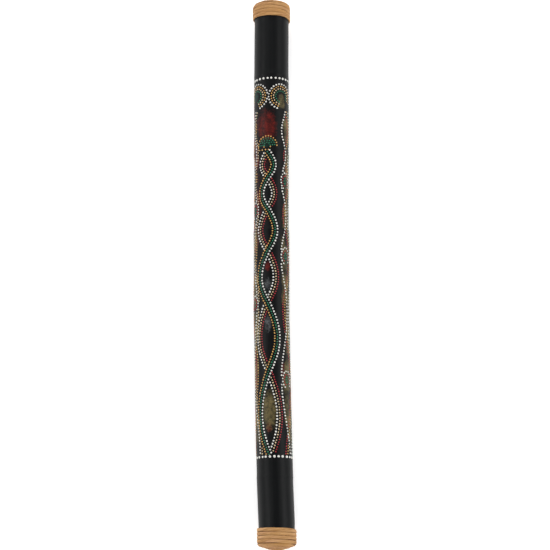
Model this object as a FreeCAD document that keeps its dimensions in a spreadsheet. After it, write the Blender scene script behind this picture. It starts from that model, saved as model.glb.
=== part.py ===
import FreeCAD
import Part
import math
import os
import Sketcher

# Rainstick: a closed bamboo culm with cord-wound ends, crossed by pegs and partly filled with pebbles.
# It lies on a level surface along X, near end at -X. Z is up and Z = 0 is the surface it lies on.
# All lengths are in mm and all angles in degrees.

Vector = FreeCAD.Vector
Rotation = FreeCAD.Rotation
Placement = FreeCAD.Placement

os.makedirs("parts", exist_ok=True)
doc = FreeCAD.newDocument("rainstick")

# ---------------------------------------------------------------------------------------------------
# Sizes

SIZES = {
    "stick_length": 1022.0,  # from the tip of one end button to the tip of the other
    "culm_length": 983.0,
    "culm_end_radius": 31.75,
    "bore_radius": 27.3,
    "node_half": 7.0,  # half the length of the thickening at each bamboo node
    "node_ridge": 0.25,  # how far a node stands proud of its thicker neighbour
    "node_rim": 0.4,  # what is left inside of the knocked-out diaphragm
    "straight_end": 26.0,  # length at each end of the culm that has no bow
    "cord_width": 6.4,
    "cord_thick": 2.8,
    "cord_pitch": 6.6,  # from one turn to the next, along the surface that it is wound on
    "cord_gap": 0.25,  # glue between the cord and what it is wound on
    "coil_eye_gap": 0.15,  # between the coil's inner edge and the button's shank
    "side_turns_length": 23.5,  # how far the middle of the cord runs down the side of the culm
    "dome_slope": 17.5,  # of the cone on the plug's head, from square across the stick
    "dome_rim": 3.8,  # thickness of the plug's head where its cone would meet its side
    "dome_round": 4.5,  # radius that the edge between them is rounded to
    "plug_length": 15.0,  # in the bore
    "plug_radius": 27.2,
    "plug_chamfer": 1.5,
    "button_radius": 7.5,
    "button_rim": 0.8,  # thickness of the button at its edge
    "button_gap": 0.1,  # between the button and the cord under it
    "shank_radius": 1.0,
    "shank_hole_radius": 1.05,
    "shank_length": 22.0,  # under the button
    "peg_radius": 1.5,
    "peg_hole_radius": 1.55,
    "peg_spacing": 9.8,  # along the stick
    "peg_turn": 60.0,  # from one peg to the next, round the stick
    "peg_end_gap": 2.0,  # between a peg's tip and the far wall of the bore
    "peg_recess": 0.15,  # below the painted surface
    "pebble_radius": 2.9,
    "pebble_pitch": 6.0,  # from one row of pebbles to the next
    "pebble_gap": 0.5,  # between the first row and the plug
}

# Bamboo nodes from the near end to the far end: place along the stick, and sideways bow there.
NODES = [(-379.0, 2.1), (-230.0, 4.2), (-81.0, 5.3), (64.0, 4.1), (208.0, 2.7), (357.0, 1.3)]

# Outside radius of each length of culm, near end first, nodes between them.
LENGTH_RADII = [31.9, 31.9, 31.8, 31.9, 31.1, 31.6, 31.55]

sheet = doc.addObject("Spreadsheet::Sheet", "sizes")
sheet.Label = "sizes"


rows = list(SIZES.items())
for number, (place, bow) in enumerate(NODES, 1):
    rows.append(("bamboo_node_%d_place" % number, place))
    rows.append(("bamboo_node_%d_bow" % number, bow))
for number, radius in enumerate(LENGTH_RADII, 1):
    rows.append(("bamboo_length_%d_radius" % number, radius))

# The wound cord at both ends and the culm's lowest node all lie on the surface. So the bow leans down
# by just enough for the culm's third node, where it is widest, to touch the surface too.
rows += [
    ("wound_radius", "=culm_end_radius + cord_gap + cord_thick"),
    ("belly_radius", "=max(bamboo_length_3_radius; bamboo_length_4_radius) + node_ridge"),
    ("bow_droop", "=(wound_radius - belly_radius) / bamboo_node_3_bow"),
    ("axis_height", "=wound_radius"),
    ("axis_side", "=(wound_radius - belly_radius - bamboo_node_3_bow) / 2"),
]
for row, (alias, value) in enumerate(rows, 1):
    sheet.set("A%d" % row, alias)
    sheet.set("B%d" % row, str(value))
    sheet.setAlias("B%d" % row, alias)
doc.recompute()

size = dict(SIZES)
for alias in ("wound_radius", "belly_radius", "bow_droop", "axis_height", "axis_side"):
    size[alias] = float(sheet.get(alias))


# ---------------------------------------------------------------------------------------------------
# Bamboo culm: one loft for the outside, one for the bore, less the peg holes


def culm_stations():
    """Where the culm's circle is set: (place, bow, outside radius, bore radius), each a sheet formula."""
    end = "sizes.culm_length / 2"
    straight = "(sizes.culm_length / 2 - sizes.straight_end)"
    end_radius = "sizes.culm_end_radius"
    bore = "sizes.bore_radius"
    stations = [
        ("-" + end, "0", end_radius, bore),
        ("-" + straight, "0", end_radius, bore),
        ("-" + straight + " + sizes.node_half", "0", "sizes.bamboo_length_1_radius", bore),
    ]
    for number in range(1, len(NODES) + 1):
        place = "sizes.bamboo_node_%d_place" % number
        bow = "sizes.bamboo_node_%d_bow" % number
        before = "sizes.bamboo_length_%d_radius" % number
        after = "sizes.bamboo_length_%d_radius" % (number + 1)
        ridge = "max(%s; %s) + sizes.node_ridge" % (before, after)
        stations += [
            (place + " - sizes.node_half", bow, before, bore),
            (place, bow, ridge, bore + " - sizes.node_rim"),
            (place + " + sizes.node_half", bow, after, bore),
        ]
    last_radius = "sizes.bamboo_length_%d_radius" % len(LENGTH_RADII)
    stations += [
        (straight + " - sizes.node_half", "0", last_radius, bore),
        (straight, "0", end_radius, bore),
        (end, "0", end_radius, bore),
    ]
    return stations


ALONG_X = Rotation(Vector(0, 1, 0), 90)  # turns a circle or cylinder so that its axis lies along +X


def circle(name, place, bow, radius):
    ring = doc.addObject("Part::Circle", name)
    ring.Placement = Placement(Vector(), ALONG_X)
    ring.setExpression("Radius", radius)
    ring.setExpression("Placement.Base.x", place)
    ring.setExpression("Placement.Base.y", "sizes.axis_side + " + bow)
    ring.setExpression("Placement.Base.z", "sizes.axis_height - sizes.bow_droop * (" + bow + ")")
    return ring


def loft(name, rings):
    skin = doc.addObject("Part::Loft", name)
    skin.Sections = rings
    skin.Solid = True
    skin.Ruled = True
    return skin


outside_rings = []
bore_rings = []
for number, (place, bow, outside, bore) in enumerate(culm_stations()):
    outside_rings.append(circle("outside_ring_%02d" % number, place, bow, outside))
    bore_rings.append(circle("bore_ring_%02d" % number, place, bow, bore))
culm_outside = loft("culm_outside", outside_rings)
culm_bore = loft("culm_bore", bore_rings)
doc.recompute()

# The same stations as numbers, for the pegs, whose ends follow the culm's surface
STATIONS = []
for outer, inner in zip(outside_rings, bore_rings):
    middle = outer.Placement.Base
    radii = {"outside": outer.Radius.Value, "bore": inner.Radius.Value}
    STATIONS.append({"x": middle.x, "y": middle.y, "z": middle.z, **radii})


def culm_at(x):
    """The culm's middle, outside radius and bore radius at a place along the stick."""
    for a, b in zip(STATIONS, STATIONS[1:]):
        if a["x"] <= x <= b["x"]:
            share = (x - a["x"]) / (b["x"] - a["x"])
            return {key: a[key] + share * (b[key] - a[key]) for key in a}
    raise ValueError("no culm at %.1f" % x)


def reach(direction, x, surface):
    """How far from the stick's straight axis the culm's outside or bore is, in a direction square to
    that axis and in the opposite one (which comes out negative)."""
    culm_there = culm_at(x)
    away = Vector(0, culm_there["y"] - size["axis_side"], culm_there["z"] - size["axis_height"])
    shift = away.dot(direction)
    half = math.sqrt(culm_there[surface] ** 2 - away.Length**2 + shift**2)
    return shift + half, shift - half


# ---------------------------------------------------------------------------------------------------
# Pegs: a spiral of them, each driven in flush from the outside, across the bore almost to the far wall

PEG_FREE = 12.0  # no peg closer than this to a bamboo node
FIRST_PEG = -452.0
LAST_PEG = 452.0


def peg_places():
    """For each length of culm, the pegs in it as (place along the stick, angle round it)."""
    edges = [FIRST_PEG - PEG_FREE] + [place for place, _ in NODES] + [LAST_PEG + PEG_FREE]
    lengths = []
    turn = 0
    for start, stop in zip(edges, edges[1:]):
        room = stop - start - 2 * PEG_FREE
        count = int(room // size["peg_spacing"]) + 1
        first = start + PEG_FREE + (room - (count - 1) * size["peg_spacing"]) / 2
        pegs = []
        for number in range(count):
            pegs.append((first + number * size["peg_spacing"], turn * size["peg_turn"]))
            turn += 1
        lengths.append(pegs)
    return lengths


def peg_cylinder(name, x, angle, radius_alias, start, stop):
    """A cylinder square to the stick, from one distance off its straight axis to another, inwards."""
    out = Vector(0, math.cos(math.radians(angle)), math.sin(math.radians(angle)))
    rod = doc.addObject("Part::Cylinder", name)
    rod.setExpression("Radius", "sizes." + radius_alias)
    rod.Height = start - stop
    base = Vector(x, size["axis_side"], size["axis_height"]) + out * start
    rod.Placement = Placement(base, Rotation(Vector(0, 0, 1), out.negative()))
    return rod


def compound(name, members):
    bundle = doc.addObject("Part::Compound", name)
    bundle.Label = name
    bundle.Links = members
    return bundle


def cut(name, base, tool):
    rest = doc.addObject("Part::Cut", name)
    rest.Base = base
    rest.Tool = tool
    rest.Refine = False
    return rest


DRILL_OVERSHOOT = 3.0  # how far each hole's cylinder stands out of the wall on both sides

peg_groups = []
holes_by_angle = {}
for group, pegs in enumerate(peg_places(), 1):
    rods = []
    for number, (x, angle) in enumerate(pegs, 1):
        out = Vector(0, math.cos(math.radians(angle)), math.sin(math.radians(angle)))
        outside = reach(out, x, "outside")[0]
        bore_near, bore_far = reach(out, x, "bore")
        start = outside - size["peg_recess"]
        stop = bore_far + size["peg_end_gap"]
        name = "%d_%02d" % (group, number)
        rods.append(peg_cylinder("peg_" + name, x, angle, "peg_radius", start, stop))
        drill_start = outside + DRILL_OVERSHOOT
        drill_stop = bore_near - DRILL_OVERSHOOT
        hole = peg_cylinder("hole_" + name, x, angle, "peg_hole_radius", drill_start, drill_stop)
        holes_by_angle.setdefault(angle % 360, []).append(hole)
    peg_groups.append(compound("pegs_%d" % group, rods))

# The holes are drilled one line along the stick after another, because a single cut can leave some out.
culm = cut("tube", culm_outside, culm_bore)
for angle, holes in sorted(holes_by_angle.items()):
    culm = cut("drilled_%d" % angle, culm, compound("holes_%d" % angle, holes))
culm.Label = "bamboo_culm"
doc.recompute()


def is_peg_hole(face):
    surface = face.Surface
    return isinstance(surface, Part.Cylinder) and abs(surface.Radius - size["peg_hole_radius"]) < 1e-6


hole_count = len([face for face in culm.Shape.Faces if is_peg_hole(face)])
peg_count = sum(len(pegs) for pegs in peg_places())
if hole_count != peg_count:
    raise RuntimeError("%d holes for %d pegs" % (hole_count, peg_count))

# ---------------------------------------------------------------------------------------------------
# Ends. Each is made with its own +Z out of the stick and Z = 0 on the end of the culm.

ENDS = {
    "near": Placement(
        Vector(-size["culm_length"] / 2, size["axis_side"], size["axis_height"]),
        Rotation(Vector(0, 1, 0), -90),
    ),
    "far": Placement(
        Vector(size["culm_length"] / 2, size["axis_side"], size["axis_height"]),
        Rotation(Vector(0, 1, 0), 90),
    ),
}
# Which way each end is turned about its own axis so that the cord stops under the stick
CORD_STOPS = {"near": 180.0, "far": 0.0}

slope = math.radians(size["dome_slope"])
CONE_RISE = "(sizes.culm_end_radius - sizes.shank_hole_radius) * tan(sizes.dome_slope * 1 deg)"
CONE_TOP = "sizes.dome_rim + " + CONE_RISE


def cone_surface(radius):
    return size["dome_rim"] + (size["culm_end_radius"] - radius) * math.tan(slope)


def turned(name, points):
    """A Body with one revolved sketch. Its outline's corners are (radius, height, formulas for both)."""
    body = doc.addObject("PartDesign::Body", name + "_body")
    sketch = body.newObject("Sketcher::SketchObject", name + "_outline")
    plane = [o for o in body.Origin.OriginFeatures if "XZ" in o.Name][0]
    sketch.AttachmentSupport = [(plane, "")]
    sketch.MapMode = "FlatFace"
    corners = [Vector(point[0], point[1], 0) for point in points]
    for a, b in zip(corners, corners[1:] + corners[:1]):
        sketch.addGeometry(Part.LineSegment(a, b), False)
    count = len(corners)
    for i in range(count):
        sketch.addConstraint(Sketcher.Constraint("Coincident", i, 2, (i + 1) % count, 1))
    for i, (radius, height, radius_formula, height_formula) in enumerate(points):
        for kind, value, formula in (
            ("DistanceX", radius, radius_formula),
            ("DistanceY", height, height_formula),
        ):
            index = sketch.addConstraint(Sketcher.Constraint(kind, -1, 1, i, 1, value))
            if formula:
                sketch.setExpression("Constraints[%d]" % index, formula)
    spin = body.newObject("PartDesign::Revolution", name + "_turned")
    spin.Profile = sketch
    spin.ReferenceAxis = (sketch, ["V_Axis"])
    spin.Angle = 360.0
    sketch.Visibility = False
    doc.recompute()
    return body, spin


def plug(end):
    """Wooden plug: a length in the bore, and a head like a low cone that covers the end of the culm."""
    hole = size["shank_hole_radius"]
    length = size["plug_length"]
    chamfer = size["plug_chamfer"]
    radius = size["plug_radius"]
    head = size["culm_end_radius"]
    top = cone_surface(hole)
    bottom = "-sizes.plug_length * 1 mm"
    chamfered = "sizes.plug_radius - sizes.plug_chamfer"
    points = [
        (hole, -length, "sizes.shank_hole_radius", bottom),
        (radius - chamfer, -length, chamfered, bottom),
        (radius, chamfer - length, "sizes.plug_radius", "(sizes.plug_chamfer - sizes.plug_length) * 1 mm"),
        (radius, 0, "sizes.plug_radius", None),
        (head, 0, "sizes.culm_end_radius", None),
        (head, size["dome_rim"], "sizes.culm_end_radius", "sizes.dome_rim"),
        (hole, top, "sizes.shank_hole_radius", CONE_TOP),
    ]
    body, spin = turned(end + "_plug", points)
    corner = [
        "Edge%d" % number
        for number, edge in enumerate(spin.Shape.Edges, 1)
        if edge.BoundBox.ZLength < 0.01
        and abs(edge.BoundBox.ZMin - size["dome_rim"]) < 0.01
        and abs(edge.BoundBox.XMax - size["culm_end_radius"]) < 0.01
    ]
    edge_round = body.newObject("PartDesign::Fillet", end + "_plug_round")
    edge_round.Base = (spin, corner)
    edge_round.setExpression("Radius", "sizes.dome_round")
    body.Label = end + "_plug"
    body.Placement = ENDS[end]
    return body


# Line that the middle of the cord is wound on: out along the cone, round the shoulder, down the side.
half_thick = size["cord_gap"] + size["cord_thick"] / 2
side_radius = size["culm_end_radius"] + half_thick
start_radius = size["shank_radius"] + size["coil_eye_gap"] + size["cord_width"] / 2 * math.cos(slope)
shoulder = size["dome_round"] + half_thick
shoulder_out = side_radius - shoulder
shoulder_start = shoulder_out + shoulder * math.sin(slope)
shoulder_height = size["dome_rim"] - size["dome_round"] * math.tan((math.pi / 2 - slope) / 2)
cone_run = (shoulder_start - start_radius) / math.cos(slope)
shoulder_run = shoulder * (math.pi / 2 - slope)


def winding(distance):
    """The cord's middle as (radius, height) and the tilt of its flat side, a distance along that line."""
    if distance < cone_run:
        radius = start_radius + distance * math.cos(slope)
        return radius, cone_surface(radius) + half_thick / math.cos(slope), slope
    if distance < cone_run + shoulder_run:
        tilt = slope + (distance - cone_run) / shoulder
        radius = shoulder_out + shoulder * math.sin(tilt)
        return radius, shoulder_height + shoulder * math.cos(tilt), tilt
    down = distance - cone_run - shoulder_run
    return side_radius, shoulder_height - down, math.pi / 2


CORD_STEPS = 36  # sections in each turn


def cord_winding(end):
    """One length of flattened cord, coiled out over the plug's cone and on down the side of the culm."""
    turns = (cone_run + shoulder_run + size["side_turns_length"]) / size["cord_pitch"]
    steps = int(turns * CORD_STEPS)
    up = Vector(0, 0, 1)
    sections = []
    for step in range(steps + 1):
        angle = math.radians(CORD_STOPS[end]) + 2 * math.pi * (step - steps) / CORD_STEPS
        radius, height, tilt = winding(step * size["cord_pitch"] / CORD_STEPS)
        out = Vector(math.cos(angle), math.sin(angle), 0)
        middle = out * radius + up * height
        wide = out * math.cos(tilt) - up * math.sin(tilt)
        thick = out * math.sin(tilt) + up * math.cos(tilt)
        oval = Part.Ellipse(
            middle + wide * (size["cord_width"] / 2),
            middle + thick * (size["cord_thick"] / 2),
            middle,
        )
        sections.append(Part.Wire([oval.toBSpline().toShape()]))
    wound = doc.addObject("Part::Feature", end + "_winding")
    wound.Label = end + "_winding"
    wound.Shape = Part.makeLoft(sections, True, True)
    wound.Placement = ENDS[end]
    return wound


def button(end):
    """Wooden button on a thin shank, driven through the middle of the coil into the plug to hold them."""
    start_height = winding(0)[1]
    half_tall = math.hypot(
        size["cord_width"] / 2 * math.sin(slope), size["cord_thick"] / 2 * math.cos(slope)
    )
    under = start_height + half_tall + size["button_gap"]
    tip = (size["stick_length"] - size["culm_length"]) / 2
    crown_height = tip - under - size["button_rim"]
    crown_radius = (size["button_radius"] ** 2 + crown_height**2) / (2 * crown_height)
    shank = doc.addObject("Part::Cylinder", end + "_shank")
    shank.setExpression("Radius", "sizes.shank_radius")
    shank.setExpression("Height", "sizes.shank_length + sizes.button_rim")
    shank.Placement.Base = Vector(0, 0, under - size["shank_length"])
    rim = doc.addObject("Part::Cylinder", end + "_button_blank")
    rim.setExpression("Radius", "sizes.button_radius")
    rim.Height = tip - under
    rim.Placement.Base = Vector(0, 0, under)
    ball = doc.addObject("Part::Sphere", end + "_button_ball")
    ball.Radius = crown_radius
    ball.Placement.Base = Vector(0, 0, tip - crown_radius)
    head = doc.addObject("Part::MultiCommon", end + "_button_head")
    head.Shapes = [rim, ball]
    whole = doc.addObject("Part::MultiFuse", end + "_button")
    whole.Label = end + "_button"
    whole.Shapes = [shank, head]
    whole.Placement = ENDS[end]
    return whole


end_pieces = []
for end in ("near", "far"):
    end_pieces += [plug(end), cord_winding(end), button(end)]

# ---------------------------------------------------------------------------------------------------
# Pebbles. They lie along the bottom of the bore in lanes that the pegs leave clear.

# Places across the bore, from the stick's straight axis, and how many rows long each run of them is.
PEBBLE_RUNS = {
    "pebbles_floor": [(0.0, -23.9, 34), (6.2, -23.05, 33), (-6.2, -23.05, 32)],
    "pebbles_heap": [(3.15, -17.6, 29), (-3.15, -17.6, 28), (0.0, -12.6, 23)],
    "pebbles_left": [(-14.7, -15.0, 26), (-16.5, -9.4, 19)],
    "pebbles_right": [(15.8, -17.9, 27), (20.2, -12.8, 23), (14.2, -12.1, 20)],
}

first_row = -size["culm_length"] / 2 + size["plug_length"] + size["pebble_gap"] + size["pebble_radius"]
pebble_nodes = []
for label, lane in PEBBLE_RUNS.items():
    stones = []
    for place, (side, height, rows) in enumerate(lane):
        for row in range(rows):
            stone = doc.addObject("Part::Sphere", "%s_%d_%02d" % (label, place, row))
            stone.setExpression("Radius", "sizes.pebble_radius")
            x = first_row + row * size["pebble_pitch"]
            stone.Placement.Base = Vector(x, size["axis_side"] + side, size["axis_height"] + height)
            stones.append(stone)
    pebble_nodes.append(compound(label, stones))

# ---------------------------------------------------------------------------------------------------
# Check and write

doc.recompute()
for item in doc.Objects:
    if "Invalid" in item.State or "Error" in item.State:
        raise RuntimeError("%s: %s" % (item.Label, item.State))

pieces = [culm] + end_pieces + peg_groups + pebble_nodes
for piece in pieces:
    shape = piece.Shape
    if shape.isNull() or not shape.isValid():
        raise RuntimeError("%s has no valid shape" % piece.Label)
    shape.exportStep("parts/%s.step" % piece.Label)
    box = shape.optimalBoundingBox()
    print("%-14s %3d solids  %9.1f mm3" % (piece.Label, len(shape.Solids), shape.Volume))
    print("    from %.2f, %.2f, %.2f" % (box.XMin, box.YMin, box.ZMin))
    print("    to   %.2f, %.2f, %.2f" % (box.XMax, box.YMax, box.ZMax))
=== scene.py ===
import itertools
import math
import random

import bmesh
import bpy
import numpy as np
from mathutils import Matrix, Vector, noise


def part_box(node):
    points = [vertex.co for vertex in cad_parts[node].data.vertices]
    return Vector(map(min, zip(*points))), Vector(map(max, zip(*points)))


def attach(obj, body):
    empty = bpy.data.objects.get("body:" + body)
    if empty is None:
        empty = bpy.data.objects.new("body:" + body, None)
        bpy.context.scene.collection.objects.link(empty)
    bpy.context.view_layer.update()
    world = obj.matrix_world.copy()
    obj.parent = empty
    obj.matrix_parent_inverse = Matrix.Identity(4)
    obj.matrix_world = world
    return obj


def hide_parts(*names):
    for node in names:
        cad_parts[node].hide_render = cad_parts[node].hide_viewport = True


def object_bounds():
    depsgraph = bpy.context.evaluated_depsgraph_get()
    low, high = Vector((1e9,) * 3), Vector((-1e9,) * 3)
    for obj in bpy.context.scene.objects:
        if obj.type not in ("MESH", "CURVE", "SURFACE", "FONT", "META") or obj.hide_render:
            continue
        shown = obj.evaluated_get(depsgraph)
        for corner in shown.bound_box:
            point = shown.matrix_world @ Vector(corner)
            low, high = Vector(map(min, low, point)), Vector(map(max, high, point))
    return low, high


# Looks of the rainstick: painted skin with raised dots, wound cord ends, wood, pebbles, floor and light.
# The stick lies along X. "Around" is the distance along the painted surface from the line on top of the
# stick, positive towards -Y. "Down" is the distance from the far ring of large dots towards the near end.

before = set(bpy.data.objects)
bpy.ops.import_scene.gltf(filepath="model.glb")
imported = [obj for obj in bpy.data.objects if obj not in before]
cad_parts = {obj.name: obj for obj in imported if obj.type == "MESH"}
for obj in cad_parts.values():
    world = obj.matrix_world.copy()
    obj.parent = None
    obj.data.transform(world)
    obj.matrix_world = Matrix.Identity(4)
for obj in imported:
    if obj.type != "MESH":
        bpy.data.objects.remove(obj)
cad_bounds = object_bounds()

MM = 0.001

# ---------------------------------------------------------------------------------------------------
# Camera, first, because everything is judged through it

CAMERA_PLACE = Vector((-0.7064, -0.0029, 3.181))
CAMERA_TILT = 0.2165  # radians, from straight down towards the far end
CAMERA_ROLL = 0.0102
CAMERA_LENS = 117.07
CAMERA_SENSOR = 36.0


def make_camera():
    forward = Vector((math.sin(CAMERA_TILT), 0, -math.cos(CAMERA_TILT)))
    level_up = Vector((math.cos(CAMERA_TILT), 0, math.sin(CAMERA_TILT)))
    level_right = Vector((0, -1, 0))
    right = level_right * math.cos(CAMERA_ROLL) - level_up * math.sin(CAMERA_ROLL)
    up = level_up * math.cos(CAMERA_ROLL) + level_right * math.sin(CAMERA_ROLL)
    data = bpy.data.cameras.new("camera")
    data.lens = CAMERA_LENS
    data.sensor_width = CAMERA_SENSOR
    camera = bpy.data.objects.new("camera", data)
    turn = Matrix((right, up, -forward)).transposed().to_4x4()
    camera.matrix_world = Matrix.Translation(CAMERA_PLACE) @ turn
    bpy.context.scene.collection.objects.link(camera)
    bpy.context.scene.camera = camera


# ---------------------------------------------------------------------------------------------------
# Shader helpers


def add(tree, kind, inputs=None, **settings):
    """Adds a shader node. An input given as a socket is linked, and any other value is set."""
    made = tree.nodes.new("ShaderNode" + kind)
    for key, value in settings.items():
        setattr(made, key, value)
    for key, value in (inputs or {}).items():
        if isinstance(value, bpy.types.NodeSocket):
            tree.links.new(value, made.inputs[key])
        else:
            made.inputs[key].default_value = value
    return made


def object_place(tree):
    return add(tree, "TexCoord").outputs["Object"]


def stretched(tree, scale, source):
    """Coordinates scaled along each axis."""
    return add(tree, "Mapping", {"Vector": source, "Scale": scale}).outputs[0]


def grain(tree, vector, scale, detail, roughness):
    inputs = {"Vector": vector, "Scale": scale, "Detail": detail, "Roughness": roughness}
    return add(tree, "TexNoise", inputs).outputs[0]


def spread(tree, value, from_low, from_high, to_low=0.0, to_high=1.0):
    """Maps a value from one range to another and holds it there."""
    inputs = {"Value": value, 1: from_low, 2: from_high, 3: to_low, 4: to_high}
    return add(tree, "MapRange", inputs).outputs[0]


def combine(tree, operation, a, b):
    return add(tree, "Math", {0: a, 1: b}, operation=operation).outputs[0]


def weighed(tree, a, share_a, b, share_b):
    """Two values added, each times its share."""
    return combine(tree, "ADD", combine(tree, "MULTIPLY", a, share_a), combine(tree, "MULTIPLY", b, share_b))


def blend_colours(tree, factor, a, b):
    return add(tree, "Mix", {0: factor, 6: a, 7: b}, data_type="RGBA").outputs[2]


def attribute(tree, name):
    return add(tree, "Attribute", attribute_name=name)


def linear(value):
    """Linear light from a display value from 0 to 255, by the sRGB curve."""
    share = value / 255
    return share / 12.92 if value <= 10 else ((share + 0.055) / 1.055) ** 2.4


def rgb(red, green, blue):
    """A colour given as display values."""
    return (linear(red), linear(green), linear(blue), 1.0)


def darker(colour, share):
    return (*[value * share for value in colour[:3]], 1.0)


def material(name, **uniform):
    """A material with one Principled shader, and its node tree. Uniform values go straight on the shader."""
    made = bpy.data.materials.new(name)
    made.use_nodes = True
    shader = made.node_tree.nodes["Principled BSDF"]
    for key, value in uniform.items():
        shader.inputs[key.replace("_", " ")].default_value = value
    return made, made.node_tree, shader


def feed(tree, shader, **sockets):
    for key, socket in sockets.items():
        tree.links.new(socket, shader.inputs[key.replace("_", " ")])


def bump(tree, height, distance):
    return add(tree, "Bump", {"Height": height, "Distance": distance}).outputs[0]


# ---------------------------------------------------------------------------------------------------
# Mesh helpers


def mesh_object(name, points, faces, look, body):
    """A smooth piece from points and faces, wearing one material and riding on a body."""
    mesh = bpy.data.meshes.new(name)
    mesh.from_pydata(points, [], faces)
    mesh.update()
    mesh.polygons.foreach_set("use_smooth", [True] * len(mesh.polygons))
    piece = bpy.data.objects.new(name, mesh)
    bpy.context.scene.collection.objects.link(piece)
    mesh.materials.append(look)
    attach(piece, body)
    return piece


def set_attribute(piece, name, values, kind="FLOAT"):
    made = piece.data.attributes.new(name, kind, "POINT")
    key = "vector" if kind == "FLOAT_VECTOR" else "value"
    made.data.foreach_set(key, np.asarray(values, np.float32).ravel())


def tube_faces(rows, columns, flip=False):
    """Quads of a closed tube whose points are numbered row by row."""
    i, j = np.meshgrid(np.arange(rows - 1), np.arange(columns), indexing="ij")
    a = i * columns + j
    b = i * columns + (j + 1) % columns
    quads = np.stack([a, b, b + columns, a + columns], -1).reshape(-1, 4)
    return (quads[:, ::-1] if flip else quads).tolist()


# ---------------------------------------------------------------------------------------------------
# The culm's shape, as in the CAD: straight between stations, with a bow and a ridge at each bamboo node

BAMBOO_NODES = [  # place along the stick and sideways bow there
    (-379 * MM, 2.1 * MM),
    (-230 * MM, 4.2 * MM),
    (-81 * MM, 5.3 * MM),
    (64 * MM, 4.1 * MM),
    (208 * MM, 2.7 * MM),
    (357 * MM, 1.3 * MM),
]
LENGTH_RADII = [31.9 * MM, 31.9 * MM, 31.8 * MM, 31.9 * MM, 31.1 * MM, 31.6 * MM, 31.55 * MM]
END_RADIUS = 31.75 * MM
BORE_RADIUS = 27.3 * MM
NODE_HALF = 7 * MM
NODE_RIDGE = 0.25 * MM
STRAIGHT_END = 26 * MM
BELLY_RADIUS = 32.15 * MM  # at the lowest node, which touches the floor

culm_low, culm_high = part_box("bamboo_culm")
plug_low, plug_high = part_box("near_plug")
AXIS_Y = (plug_low.y + plug_high.y) / 2
AXIS_Z = (plug_low.z + plug_high.z) / 2
DROOP = (AXIS_Z - BELLY_RADIUS) / max(bow for _, bow in BAMBOO_NODES)
CULM_ENDS = {"near": culm_low.x, "far": culm_high.x}


def culm_stations():
    """Places, bows and radii between which the culm is straight."""
    straight = CULM_ENDS["far"] - STRAIGHT_END
    places = [CULM_ENDS["near"], -straight, -straight + NODE_HALF]
    bows = [0, 0, 0]
    radii = [END_RADIUS, END_RADIUS, LENGTH_RADII[0]]
    for (place, bow), before, after in zip(BAMBOO_NODES, LENGTH_RADII, LENGTH_RADII[1:]):
        places += [place - NODE_HALF, place, place + NODE_HALF]
        bows += [bow] * 3
        radii += [before, max(before, after) + NODE_RIDGE, after]
    places += [straight - NODE_HALF, straight, CULM_ENDS["far"]]
    bows += [0, 0, 0]
    radii += [LENGTH_RADII[-1], END_RADIUS, END_RADIUS]
    return places, bows, radii


PLACES, BOWS, RADII = culm_stations()
FLUTES = [(3, 0.10 * MM, 1.3), (8, 0.09 * MM, 0.4), (13, 0.04 * MM, 2.1)]  # how many round, height, phase
FLUTE_WANDER = [(0.9, 11, 1), (0.5, 23, 2)]  # size, waves along the stick, times the phase
FLUTE_FADE = (0.440, 0.458)  # metres from the middle: the flutes die away before the wound cord
# The leaf sheath's groove and the ridge beside it: height, place from the bamboo node, half width
SCARS = [(-0.16 * MM, -4.0 * MM, 1.1 * MM), (0.10 * MM, 0.0, 1.6 * MM)]


def flute_height(x, angle):
    """Lengthwise unevenness of the bamboo. It only adds, and dies away where the stick rests."""
    height = np.zeros(np.broadcast(x, angle).shape)
    for count, tall, phase in FLUTES:
        wander = sum(size * np.sin(rate * x + times * phase) for size, rate, times in FLUTE_WANDER)
        height = height + tall * (1 + np.sin(count * angle + phase + wander))
    top_only = 0.5 + 0.5 * np.cos(angle)
    ends = np.clip((FLUTE_FADE[1] - np.abs(x)) / (FLUTE_FADE[1] - FLUTE_FADE[0]), 0, 1)
    return height * top_only * ends


def scar_height(x):
    """At each bamboo node a fine groove on one side of the ridge, where the leaf sheath grew."""
    height = np.zeros(np.shape(x))
    for place, _ in BAMBOO_NODES:
        for tall, aside, half_wide in SCARS:
            height = height + tall * np.exp(-(((x - place - aside) / half_wide) ** 2))
    return height


def culm_surface(x, angle, lift=0.0):
    """Points on the painted surface, or a little above it, for arrays of places and angles."""
    bow = np.interp(x, PLACES, BOWS)
    near_floor = 0.5 - 0.5 * np.cos(angle)
    uneven = flute_height(x, angle) + scar_height(x) * (1 - near_floor)
    radius = np.interp(x, PLACES, RADII) + uneven + lift
    y = AXIS_Y + bow - radius * np.sin(angle)
    z = AXIS_Z - DROOP * bow + radius * np.cos(angle)
    return np.stack(np.broadcast_arrays(x, y, z), -1)


# ---------------------------------------------------------------------------------------------------
# Painted pattern, laid out on the unrolled surface: a ring of large dots at each end, and between them
# curls, a fan, a braid and swaying strands. Those are made twice: on the front face, and turned end for
# end on the back.

PANEL_FAR = 348 * MM  # the two rings of large dots, and black paint without a pattern outside them
PANEL_NEAR = -345 * MM
PANEL_LENGTH = PANEL_FAR - PANEL_NEAR
SURFACE_RADIUS = 31.75 * MM
GIRTH = 2 * math.pi * SURFACE_RADIUS

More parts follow.
